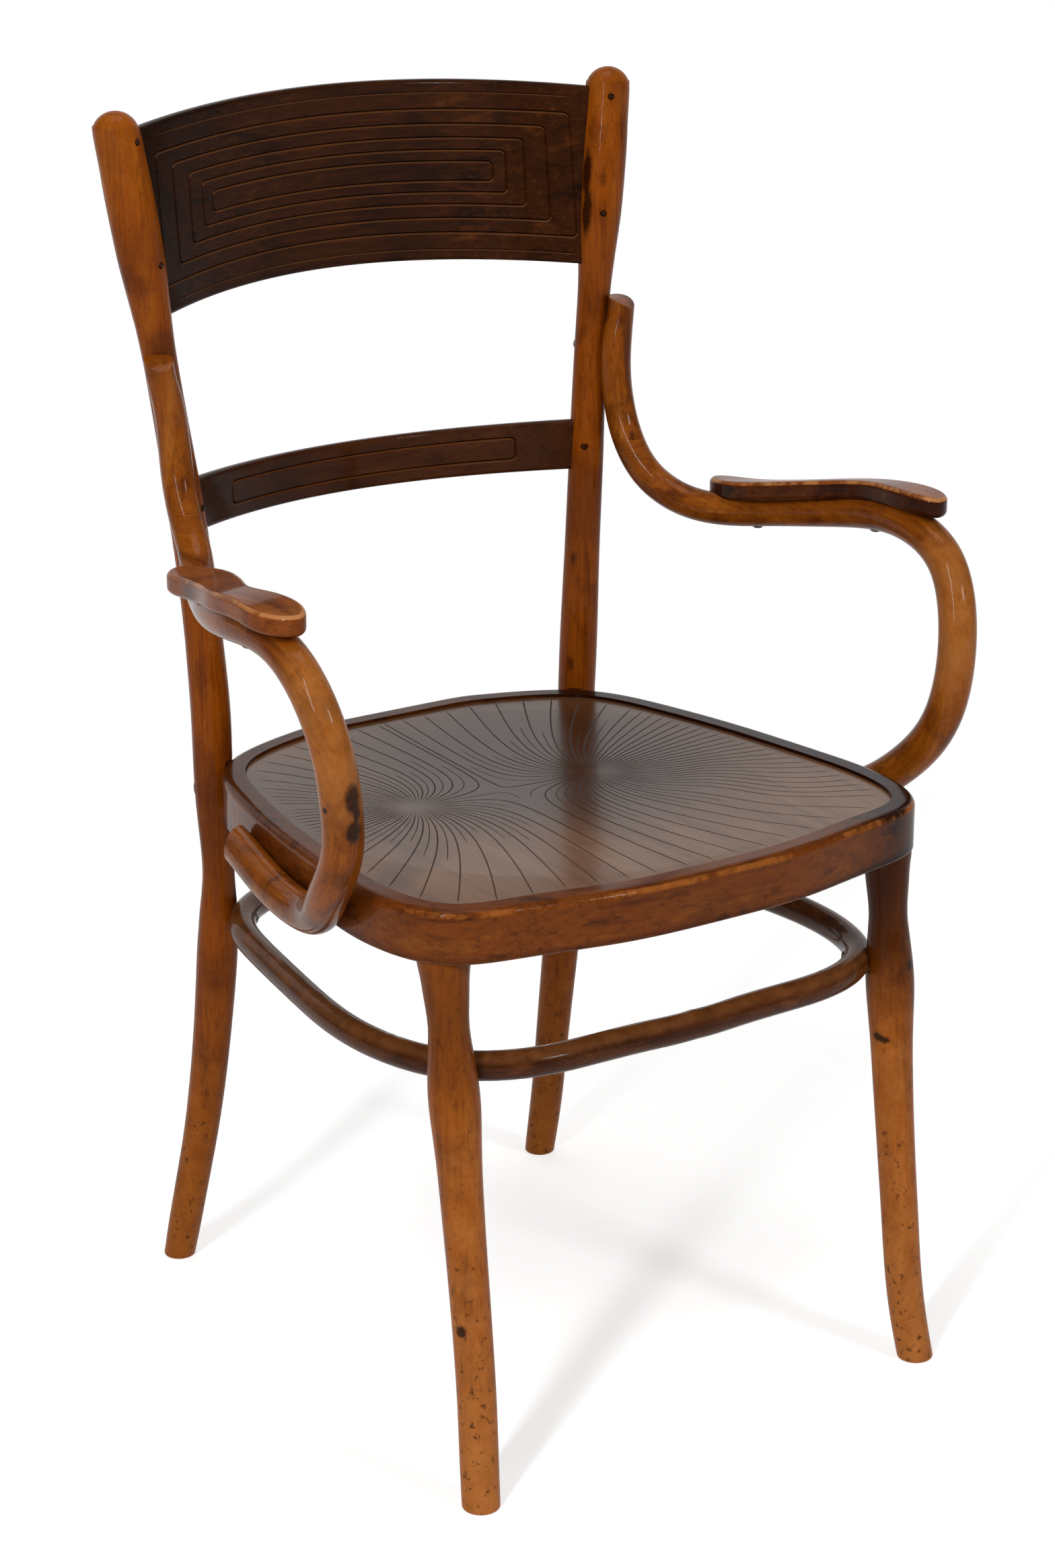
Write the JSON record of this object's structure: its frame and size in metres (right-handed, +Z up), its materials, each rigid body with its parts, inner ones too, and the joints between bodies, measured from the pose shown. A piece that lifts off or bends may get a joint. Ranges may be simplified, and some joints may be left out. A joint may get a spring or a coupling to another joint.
{
  "type": "bentwood armchair",
  "caption": "Bentwood armchair: round bent legs and back posts, curved crest board and lower back rail, looped arms with flat pads, rounded seat with a thin panel, stretcher hoop between the legs",
  "frame": {"origin": "on the floor, at the middle of the chair's width and depth: bottom centre of its bounding box", "axes": "+Z up; the chair faces -Y, its back is toward +Y; +X runs to the side on the viewer's right when the chair is seen from the front; the plane X = 0 is its mirror plane"},
  "size_m": [0.5884, 0.5038, 0.92],
  "materials": {
    "post_wood": "golden brown varnish, worn and paler at the feet",
    "leg_wood": "golden brown varnish, worn and pitted",
    "ring_wood": "red-brown varnish, rubbed lighter on the front edge",
    "panel_wood": "glossy brown varnish over an embossed pattern of fine lines",
    "hoop_wood": "dark brown gloss varnish",
    "crest_wood": "very dark brown varnish with incised border lines",
    "rail_wood": "very dark brown varnish with an incised border line",
    "arm_wood": "golden brown varnish, rubbed on the outside of the bends",
    "pad_wood": "mid brown varnish with paler worn edges",
    "pin_wood": "darkened peg ends",
    "screw_steel": "dull aged steel",
    "bolt_steel": "dull aged steel"
  },
  "bodies": {
    "root": {"back_post_left": "post_wood", "back_post_right": "post_wood", "front_leg_left": "leg_wood", "front_leg_right": "leg_wood", "seat_ring": "ring_wood", "seat_panel": "panel_wood", "stretcher_ring": "hoop_wood", "crest_rail": "crest_wood", "lower_back_rail": "rail_wood", "arm_left": "arm_wood", "arm_right": "arm_wood", "arm_pad_left": "pad_wood", "arm_pad_right": "pad_wood", "arm_pad_screws_left": "screw_steel", "arm_pad_screws_right": "screw_steel", "arm_top_screw_left": "screw_steel", "arm_top_screw_right": "screw_steel", "arm_seat_screws_left": "screw_steel", "arm_seat_screws_right": "screw_steel", "stretcher_screws": "screw_steel", "front_leg_screws": "screw_steel", "rear_leg_bolts": "bolt_steel", "rear_leg_washers": "bolt_steel", "rear_leg_nuts": "bolt_steel", "crest_pins": "pin_wood", "lower_rail_pins": "pin_wood"}
  },
  "joints": []
}
